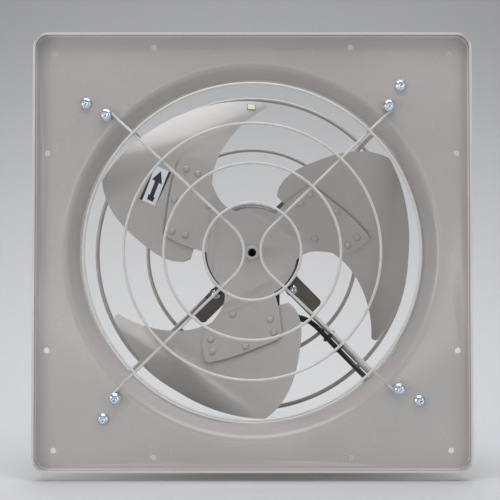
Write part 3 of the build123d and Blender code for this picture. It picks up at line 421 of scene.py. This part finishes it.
class Bench:
    """The work bench of one material."""

    def __init__(self, name):
        self.material = bpy.data.materials.new(name)
        self.material.use_nodes = True
        self.tree = self.material.node_tree
        self.tree.nodes.clear()
        self.place = self.node("ShaderNodeTexCoord", output="Object")

    def node(self, kind, settings=None, inputs=None, output=0):
        """One node: its settings first, a ramp's stops among them, then its sockets' values or links."""
        made = self.tree.nodes.new(kind)
        for name, value in (settings or {}).items():
            if name == "stops":
                ramp = made.color_ramp
                while len(ramp.elements) < len(value):
                    ramp.elements.new(1.0)
                for element, (position, colour) in zip(ramp.elements, value):
                    element.position = position
                    element.color = (*colour, 1.0)
            else:
                setattr(made, name, value)
        for name, value in (inputs or {}).items():
            if isinstance(value, Value):
                self.tree.links.new(value.socket, made.inputs[name])
            else:
                made.inputs[name].default_value = value
        return Value(self, made.outputs[output])

    def noise(self, per_metre, detail=3.0, roughness=0.55, stretch=(1.0, 1.0, 1.0), seed=0.0):
        """Noise from 0 to 1 with that many blotches to the metre, stretched along the axes."""
        place = self.node("ShaderNodeMapping", None, {
            "Vector": self.place, "Location": (seed, seed * 0.7, -seed), "Scale": stretch})
        return self.node("ShaderNodeTexNoise", None, {
            "Vector": place, "Scale": per_metre, "Detail": detail, "Roughness": roughness})

    def cells(self, per_metre, seed=0.0):
        """Distance to the nearest of randomly strewn points, in cells."""
        place = self.node("ShaderNodeMapping", None, {"Vector": self.place, "Location": (seed, seed, seed)})
        return self.node("ShaderNodeTexVoronoi", None, {"Vector": place, "Scale": per_metre})

    def blend(self, share, first, second):
        """A colour between two, by a share from 0 to 1."""
        made = self.tree.nodes.new("ShaderNodeMix")
        made.data_type = "RGBA"
        for index, value in ((0, share), (6, first), (7, second)):
            if isinstance(value, Value):
                self.tree.links.new(value.socket, made.inputs[index])
            else:
                made.inputs[index].default_value = value if index == 0 else (*value, 1.0)
        return Value(self, made.outputs[2])

    def toward(self, direction, middle=(0.0, 0.0, 0.0)):
        """How far a point lies along a direction from a middle point, in metres."""
        place = self.node("ShaderNodeVectorMath", {"operation": "SUBTRACT"}, {0: self.place, 1: middle})
        return self.node("ShaderNodeVectorMath", {"operation": "DOT_PRODUCT"}, {0: place, 1: direction},
                         output="Value")

    def axis_value(self, name):
        """One of the point's own coordinates, in metres."""
        return self.node("ShaderNodeSeparateXYZ", None, {0: self.place}, output=name)

    def finish(self, colour, roughness, height=None, bump=0.2, depth=0.0002, **constants):
        """Joins colour, roughness and a bump height to the surface. Other words are constant sockets."""
        surface_node = self.tree.nodes.new("ShaderNodeBsdfPrincipled")
        for name, value in (("Base Color", colour), ("Roughness", roughness)):
            if isinstance(value, Value):
                self.tree.links.new(value.socket, surface_node.inputs[name])
            else:
                surface_node.inputs[name].default_value = (*value, 1.0) if name == "Base Color" else value
        for name, value in constants.items():
            socket = surface_node.inputs[name.replace("_", " ").title().replace("Ior", "IOR")]
            if isinstance(value, Value):
                self.tree.links.new(value.socket, socket)
            else:
                socket.default_value = value
        if height is not None:
            bumped = self.node("ShaderNodeBump", None, {
                "Strength": bump, "Distance": depth, "Height": height}, output="Normal")
            self.tree.links.new(bumped.socket, surface_node.inputs["Normal"])
        out = self.tree.nodes.new("ShaderNodeOutputMaterial")
        self.tree.links.new(surface_node.outputs[0], out.inputs[0])
        return self.material


print("shader bench ready")

# %% [markdown]
# ## Baked paint
# The panel, the hub and the blades are steel, dipped and baked in a warm light grey. Up close such
# paint has a fine orange peel a millimetre or two across, a very slow drift in tone where it ran
# thicker, a faint dulling from handling, and now and then a speck of dust under the film. A thin clear
# coat gives the bends their sharper highlight.

# %% Paint on sheet metal
def baked_paint(name, colour, gloss, peel=0.12, grime=0.5, seed=0.0, rim=None, coat=0.0):
    """Paint whose tone and gloss drift slowly; its bump is orange peel with sparse specks.

    rim is how far from the middle the panel's hem begins, where the paint is rubbed lighter."""
    bench = Bench(name)
    drift = bench.noise(9.0, 2.0, 0.5, seed=seed)
    handling = bench.noise(38.0, 4.0, 0.62, seed=seed + 3.0)
    scuff = bench.noise(160.0, 3.0, 0.6, stretch=(1.0, 1.0, 0.18), seed=seed + 5.0).step(0.63, 0.78)
    specks = 1.0 - bench.cells(420.0, seed=seed).step(0.05, 0.11)
    light = tuple(value * 1.035 for value in colour)
    dark = tuple(value * 0.945 for value in colour)
    tone = bench.blend(drift.step(0.3, 0.7), dark, light)
    dusty = tuple(value * 0.86 for value in colour[:2]) + (colour[2] * 0.80,)
    tone = bench.blend(handling.step(0.60, 0.82) * (0.35 * grime), tone, dusty)
    tone = bench.blend(specks * 0.15, tone, tuple(value * 0.60 for value in colour))
    if rim is not None:
        outermost = bench.axis_value("X").size().most(bench.axis_value("Z").size())
        tone = bench.blend(outermost.step(rim, rim + 0.0006), tone, tuple(value * 1.38 for value in colour))
    shine = gloss + (handling - 0.5) * (0.20 * grime) + scuff * (0.12 * grime)
    orange_peel = bench.noise(620.0, 2.0, 0.45, seed=seed + 8.0)
    height = orange_peel + specks * 0.8 + drift * 0.6
    return bench.finish(tone, shine, height, bump=peel, depth=0.00012, specular_ior_level=0.5,
                        coat_weight=coat, coat_roughness=0.13)


finishes = {}
finishes["panel_paint"] = baked_paint("panel_paint", (0.450, 0.431, 0.420), 0.27, grime=0.08, seed=1.0,
                                      rim=0.2490, coat=0.35)
finishes["rotor_paint"] = baked_paint("rotor_paint", (0.405, 0.392, 0.378), 0.22, peel=0.07, grime=0.2,
                                      seed=7.0, coat=0.15)
print("paints:", sorted(finishes))

# %% [markdown]
# ## Coated wire and rod
# The guard and the cage are dipped after welding. The coat is thin and smooth, a little uneven round
# the wire, with drips hardened on its lower side. The pattern is stretched neither way because the
# wires run in every direction.

# %% Coat on wire
def wire_coat(name, colour, gloss, seed):
    """A smooth dip coat with slow thick and thin places, and small dull rub marks."""
    bench = Bench(name)
    thick = bench.noise(70.0, 2.0, 0.5, seed=seed)
    rub = bench.noise(240.0, 3.0, 0.6, seed=seed + 2.0).step(0.60, 0.74)
    tone = bench.blend(thick.step(0.35, 0.68), tuple(value * 0.93 for value in colour), colour)
    tone = bench.blend(rub * 0.35, tone, tuple(value * 0.72 for value in colour))
    height = thick * 1.0 + bench.noise(900.0, 2.0, 0.5, seed=seed) * 0.35
    return bench.finish(tone, gloss + rub * 0.18, height, bump=0.14, depth=0.0002, coat_weight=0.15,
                        coat_roughness=0.2)


finishes["guard_coat"] = wire_coat("guard_coat", (0.62, 0.61, 0.59), 0.30, 11.0)
finishes["cage_coat"] = wire_coat("cage_coat", (0.40, 0.385, 0.365), 0.34, 17.0)
print("wire coats made")

# %% [markdown]
# ## Plated and bare metals
# Zinc plate is bright and bluish, and keeps the fine grain of the blank and cloudy patches left by the
# passivation bath. Ground steel carries fine lines round the axis, cast aluminium a matt skin, and the
# laminated cores show their stack of half-millimetre sheets as lines along the fan's axis.

# %% Metals
def plated_zinc(name):
    """Bright bluish metal with cloudy tone and roughness and a fine grain."""
    bench = Bench(name)
    cloud = bench.noise(130.0, 4.0, 0.6, seed=2.0)
    grain = bench.noise(1500.0, 2.0, 0.6, seed=4.0)
    tone = bench.blend(cloud.step(0.35, 0.7), (0.60, 0.66, 0.74), (0.80, 0.83, 0.88))
    shine = 0.12 + cloud * 0.12 + grain * 0.05
    return bench.finish(tone, shine, grain + cloud * 0.5, bump=0.10, depth=0.0001, metallic=0.92)


def ground_metal(name, colour, shine, lines_per_metre, line_depth, blued_before=None):
    """Metal turned or stacked about the fan's axis: faint lines along Y, slow tone and shine drift.

    blued_before is the depth in front of which the steel is blued dark, for the shaft's free end."""
    bench = Bench(name)
    drift = bench.noise(60.0, 3.0, 0.55, seed=6.0)
    lines = bench.noise(lines_per_metre, 2.0, 0.5, stretch=(0.02, 1.0, 0.02), seed=1.0)
    dark = tuple(value * 0.82 for value in colour)
    tone = bench.blend(lines.step(0.35, 0.65) * 0.6 + drift * 0.3, dark, colour)
    if blued_before is not None:
        tone = bench.blend(bench.axis_value("Y").step(blued_before, blued_before + 0.001),
                           (0.012, 0.012, 0.014), tone)
    return bench.finish(tone, shine + drift * 0.12, lines + drift * 0.3, bump=line_depth, depth=0.0001,
                        metallic=1.0)


def cast_metal(name, colour, shine):
    """A matt cast skin with shallow pits."""
    bench = Bench(name)
    skin = bench.noise(420.0, 4.0, 0.65, seed=3.0)
    pits = 1.0 - bench.cells(700.0, 2.0).step(0.10, 0.24)
    tone = bench.blend(skin.step(0.3, 0.75), tuple(value * 0.84 for value in colour), colour)
    return bench.finish(tone, shine + skin * 0.14, skin - pits * 0.5, bump=0.35, depth=0.00015, metallic=1.0)


finishes["zinc"] = plated_zinc("zinc")
finishes["core_steel"] = ground_metal("core_steel", (0.34, 0.35, 0.37), 0.34, 900.0, 0.5)
finishes["bearing_steel"] = ground_metal("bearing_steel", (0.62, 0.62, 0.63), 0.20, 1400.0, 0.12,
                                         blued_before=0.086)
finishes["cast_aluminium"] = cast_metal("cast_aluminium", (0.66, 0.67, 0.68), 0.38)
finishes["plate_metal"] = ground_metal("plate_metal", (0.62, 0.63, 0.64), 0.30, 1100.0, 0.10)
print("metals made")

# %% [markdown]
# ## Enamelled copper
# The winding heads are bundles of enamelled wire dipped in varnish. A wave along the radius gives the
# strands, bent by noise so that no strand runs perfectly true.

# %% Copper
def wound_copper(name):
    """Strands as a wavy stripe of the distance from the axis, under uneven varnish."""
    bench = Bench(name)
    wander = bench.noise(70.0, 2.0, 0.5, seed=9.0)
    flat = bench.node("ShaderNodeMapping", None, {"Vector": bench.place, "Scale": (1.0, 0.0, 1.0)})
    away = bench.node("ShaderNodeVectorMath", {"operation": "LENGTH"}, {0: flat}, output="Value")
    wave = away * 5200.0 + wander * 9.0 + bench.axis_value("Y") * 3900.0
    strands = wave.maths("SINE", wave)
    varnish = bench.noise(210.0, 3.0, 0.6, seed=12.0)
    tone = bench.blend(strands * 0.5 + 0.5, (0.30, 0.10, 0.035), (0.62, 0.27, 0.11))
    return bench.finish(tone, 0.28 + varnish * 0.2, strands, bump=0.5, depth=0.0003, metallic=0.85)


finishes["copper"] = wound_copper("copper")
print("copper made")

# %% [markdown]
# ## Black parts
# The bracket is a brown-black paint with a little life in it, the motor a deeper semi-gloss black that
# has gathered pale dust, the plastics carry a fine moulded texture, and the rubber is almost matt.

# %% Blacks
def dark_finish(name, colour, dust, shine, texture, texture_bump, dust_share, seed, coat=0.0):
    """A dark surface under thin dust: tone and roughness follow the dust, bump is the texture's grain."""
    bench = Bench(name)
    settled = bench.noise(55.0, 5.0, 0.62, seed=seed).step(0.42, 0.80)
    grain = bench.noise(texture, 2.0, 0.5, seed=seed + 1.0)
    rub = bench.noise(330.0, 3.0, 0.6, seed=seed + 4.0).step(0.62, 0.74)
    tone = bench.blend(settled * dust_share, colour, dust)
    tone = bench.blend(rub * 0.4, tone, tuple(value * 1.9 for value in colour))
    return bench.finish(tone, shine + settled * 0.22 - rub * 0.06, grain + settled * 0.2, bump=texture_bump,
                        depth=0.00018, coat_weight=coat, coat_roughness=0.25)


PALE_DUST = (0.20, 0.19, 0.175)
finishes["bracket_paint"] = dark_finish("bracket_paint", (0.120, 0.108, 0.094), PALE_DUST, 0.36, 520.0, 0.16,
                                        0.16, 21.0)
finishes["motor_paint"] = dark_finish("motor_paint", (0.010, 0.010, 0.011), PALE_DUST, 0.20, 560.0, 0.12,
                                      0.05, 25.0, coat=0.5)
finishes["rubber"] = dark_finish("rubber", (0.014, 0.014, 0.014), PALE_DUST, 0.66, 900.0, 0.25, 0.18, 29.0)
finishes["black_plastic"] = dark_finish("black_plastic", (0.018, 0.018, 0.019), PALE_DUST, 0.44, 1300.0, 0.35,
                                        0.08, 33.0)
finishes["cable_jacket"] = dark_finish("cable_jacket", (0.012, 0.012, 0.013), PALE_DUST, 0.48, 1500.0, 0.22,
                                       0.12, 37.0)
print("black finishes made")

# %% [markdown]
# ## Small coloured parts
# The capacitor's can, the three conductors and the balance tab are plastics. The conductors differ by
# where they lie round the cable, and the tab is pale film with a thin dark line round its edge.

# %% Plastics
def plain_plastic(name, colour, shine, seed):
    """A moulded plastic with fine grain and slow tone drift."""
    bench = Bench(name)
    drift = bench.noise(90.0, 3.0, 0.55, seed=seed)
    grain = bench.noise(1200.0, 2.0, 0.5, seed=seed + 1.0)
    tone = bench.blend(drift.step(0.3, 0.7), tuple(value * 0.90 for value in colour), colour)
    return bench.finish(tone, shine + drift * 0.1, grain, bump=0.2, depth=0.0001)


def three_conductors(name):
    """Brown, blue and green sleeves, told apart by their place across the cable's end."""
    bench = Bench(name)
    low, high = (np.array(corner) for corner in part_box("cable_cores"))
    middle = tuple(float(value) for value in (low + high) / 2)
    side = bench.toward((1.0, 0.0, 0.0), middle)
    back = bench.toward((0.0, 1.0, 0.0), middle)
    drift = bench.noise(300.0, 2.0, 0.5, seed=41.0)
    tone = bench.blend(side.step(-0.0002, 0.0002), (0.16, 0.060, 0.022), (0.025, 0.09, 0.42))
    tone = bench.blend(back.step(-0.0007, -0.0004), (0.10, 0.30, 0.03), tone)
    return bench.finish(tone, 0.34 + drift * 0.1, drift, bump=0.1, depth=0.0001)


TAB_HEADING = 90.2


def balance_film(name):
    """Pale yellow film with a thin dark outline."""
    bench = Bench(name)
    low, high = (np.array(corner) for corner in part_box("balance_tab"))
    middle = tuple(float(value) for value in (low + high) / 2)
    turn = math.radians(TAB_HEADING)
    across = bench.toward((math.cos(turn), 0.0, math.sin(turn)), middle).size()
    along = bench.toward((-math.sin(turn), 0.0, math.cos(turn)), middle).size()
    edge = (across.step(0.0033, 0.0037) + along.step(0.0047, 0.0051)).least(1.0)
    crease = bench.noise(500.0, 3.0, 0.6, seed=43.0)
    tone = bench.blend(crease.step(0.3, 0.75), (0.62, 0.59, 0.43), (0.76, 0.74, 0.60))
    tone = bench.blend(edge, tone, (0.10, 0.095, 0.08))
    return bench.finish(tone, 0.45 + crease * 0.1, crease, bump=0.3, depth=0.0002)


finishes["capacitor_case"] = plain_plastic("capacitor_case", (0.27, 0.28, 0.30), 0.42, 45.0)
finishes["core_insulation"] = three_conductors("core_insulation")
finishes["tab_film"] = balance_film("tab_film")
print("plastics made")

# %% [markdown]
# ## The arrow label
# A white film on one blade shows which way the rotor turns: two black rules along its long sides and a
# plain arrow with a fletched tail between them. Print has no thickness, so it belongs in the colour.
# The label's own two directions come from where it lies, and every shape is a test on the distances
# along and across it, given as shares of its length and width.

# %% Printed label
LABEL_LENGTH, LABEL_WIDTH = 46.0 * MM, 20.0 * MM
ARROW_HEADING = 66.4
ARROW_NECK = 0.10
BLADE_RISE = 0.5
BLADE_RISE_HEADING = 177.0


def label_axes():
    """The label's middle, its long direction and its cross direction, all lying in the blade's sheet."""
    low, high = (np.array(corner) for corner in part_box("direction_label"))
    axes = []
    for heading in (ARROW_HEADING, ARROW_HEADING + 90.0):
        x, z = math.cos(math.radians(heading)), math.sin(math.radians(heading))
        rise = -BLADE_RISE * math.cos(math.radians(heading - BLADE_RISE_HEADING))
        axes.append((x, rise, z))
    middle = tuple(float(value) for value in (low + high) / 2)
    return middle, axes[0], axes[1]


def printed_label(name):
    """White film, black rules and a black arrow, worked out from the distances along and across it."""
    bench = Bench(name)
    middle, long_way, cross_way = label_axes()
    long_squared = sum(value * value for value in long_way)
    cross_squared = sum(value * value for value in cross_way)
    along = bench.toward(tuple(value / long_squared for value in long_way), middle) * (
        1.0 / LABEL_LENGTH)
    across = bench.toward(tuple(value / cross_squared for value in cross_way), middle) * (
        1.0 / LABEL_WIDTH)
    aside = across.size()
    past_neck = along.step(ARROW_NECK, ARROW_NECK + 0.006)
    rule = aside.step(0.405, 0.415)
    stem = (1.0 - aside.step(0.120, 0.128)) * (along + 0.36).step(0.0, 0.006) * (1.0 - past_neck)
    head_width = (0.42 - along) * 1.05
    head = (head_width - aside).step(0.0, 0.01) * past_neck
    fletching = (1.0 - (aside - (along + 0.40).size() * 0.45).step(0.170, 0.180)) * (
        along + 0.43).step(0.0, 0.006) * (1.0 - along.step(-0.30, -0.29))
    ink = (rule + stem + head + fletching).least(1.0)
    film_wear = bench.noise(420.0, 4.0, 0.6, seed=51.0)
    ink = ink * (1.0 - film_wear.step(0.72, 0.82) * 0.3)
    film = bench.blend(film_wear.step(0.3, 0.8), (0.72, 0.74, 0.77), (0.80, 0.82, 0.84))
    colour = bench.blend(ink, film, (0.006, 0.006, 0.007))
    return bench.finish(colour, 0.28 + film_wear * 0.12, film_wear, bump=0.08, depth=0.0001)


finishes["label_film"] = printed_label("label_film")
print("label printed")

# %% [markdown]
# ## Every piece gets its finish
# The record says which finish each node has. A copy takes its node's finish, and so do the rings, the
# welds and the lead.

# %% Finishes onto pieces
slot_of_node = {part["node"]: part["material_slot"] for part in frame["record"]["subparts"]}


def dress(piece, slot):
    """Gives a piece the finish of a slot."""
    piece.data.materials.clear()
    piece.data.materials.append(finishes[slot])


for node, piece in bodies.items():
    dress(piece, slot_of_node[node])
for ring in guard_rings + [guard_welds]:
    dress(ring, "guard_coat")
for ring in (cage_ring_outer, cage_ring_inner, cage_welds):
    dress(ring, "cage_coat")
dress(supply_lead, "cable_jacket")
dress(lead_sleeve, "black_plastic")
for node, part in frame["nodes"].items():
    part.data.materials.clear()
    part.data.materials.append(finishes[slot_of_node[node]])
print("finishes:", len(finishes), "on", len(bodies) + 10, "pieces")

# %% [markdown]
# ## The studio
# A pale paper sweep: flat under the fan, then bending up well behind it, so that a camera behind the
# fan still stands in front of the paper. Its tone falls slowly towards the top.

# %% Floor and sweep
FLOOR_LEVEL = -262.0
SWEEP_START, SWEEP_RADIUS, SWEEP_TOP = 500.0, 900.0, 2600.0


def paper_sweep():
    """A profile of floor, quarter circle and wall, carried straight across in X."""
    bend = np.linspace(0.0, np.pi / 2, 40)
    floor = np.array([[-2600.0, FLOOR_LEVEL], [-900.0, FLOOR_LEVEL], [0.0, FLOOR_LEVEL]])
    curve = np.stack([SWEEP_START + SWEEP_RADIUS * np.sin(bend),
                      FLOOR_LEVEL + SWEEP_RADIUS * (1.0 - np.cos(bend))], axis=1)
    wall = np.array([[SWEEP_START + SWEEP_RADIUS, SWEEP_TOP]])
    profile = np.concatenate([floor, curve, wall])
    across = np.linspace(-3200.0, 3200.0, 9)
    grid = np.zeros((len(profile), len(across), 3))
    grid[..., 0] = across[None, :]
    grid[..., 1] = profile[:, 0][:, None]
    grid[..., 2] = profile[:, 1][:, None]
    return surface("paper_sweep", grid)


sweep = paper_sweep()
paper = Bench("paper")
up = paper.axis_value("Z")
paper_tone = paper.blend(up.step(-0.30, 0.80), (0.60, 0.60, 0.603), (0.30, 0.30, 0.303))
paper_grain = paper.noise(300.0, 3.0, 0.5)
sweep.data.materials.append(paper.finish(paper_tone, 0.85, paper_grain, bump=0.05, depth=0.0002))

# %% [markdown]
# ## Light
# One large soft light hangs over the fan and a little in front of it, so that upward faces are bright
# and the hollow under the top rim is darker. A wide low one behind the camera fills the front. Two
# narrower ones, left and right, draw the highlights on the bell mouth's bend, and the last lights the
# sweep from above.

# %% Lights
def soft_light(name, place, aim, size, power, tint=(1.0, 1.0, 1.0)):
    """A rectangular soft light at a place, facing an aim point."""
    data = bpy.data.lights.new(name, "AREA")
    data.shape = "RECTANGLE"
    data.size, data.size_y = size
    data.energy = power
    data.color = tint
    lamp = bpy.data.objects.new(name, data)
    lamp.location = place
    lamp.rotation_euler = (Vector(aim) - Vector(place)).to_track_quat("-Z", "Y").to_euler()
    bpy.context.scene.collection.objects.link(lamp)
    return lamp


soft_light("overhead", (0.0, -0.25, 1.45), (0.0, 0.05, 0.0), (1.8, 1.2), 24.0, (0.97, 0.98, 1.0))
soft_light("front_fill", (0.0, -2.1, -0.50), (0.0, 0.0, 0.0), (2.0, 0.9), 18.5)
soft_light("right_light", (1.5, -1.2, 0.35), (0.0, 0.1, 0.0), (0.9, 1.2), 4.5)
soft_light("left_light", (-1.5, -0.9, -0.1), (0.0, 0.1, 0.0), (0.6, 1.2), 10.0)
soft_light("sweep_light", (0.0, 0.75, 1.9), (0.0, 0.9, -0.2), (2.4, 1.0), 16.0)
world = bpy.data.worlds.new("studio")
world.use_nodes = True
world.node_tree.nodes["Background"].inputs["Color"].default_value = (0.80, 0.81, 0.83, 1.0)
world.node_tree.nodes["Background"].inputs["Strength"].default_value = 0.35
bpy.context.scene.world = world
bpy.context.scene.view_settings.view_transform = "Standard"
print("lights: overhead, front, right, left, sweep")

# %% [markdown]
# ## Sizes
# The box of the model as loaded and the box of what shows now are kept side by side. The lead's box is
# added from its tube, because a curve's evaluated box is padded by its points' radius of one metre.

# %% Box sizes and the end
supply_lead.hide_render = True
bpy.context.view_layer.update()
supply_lead.hide_render = False
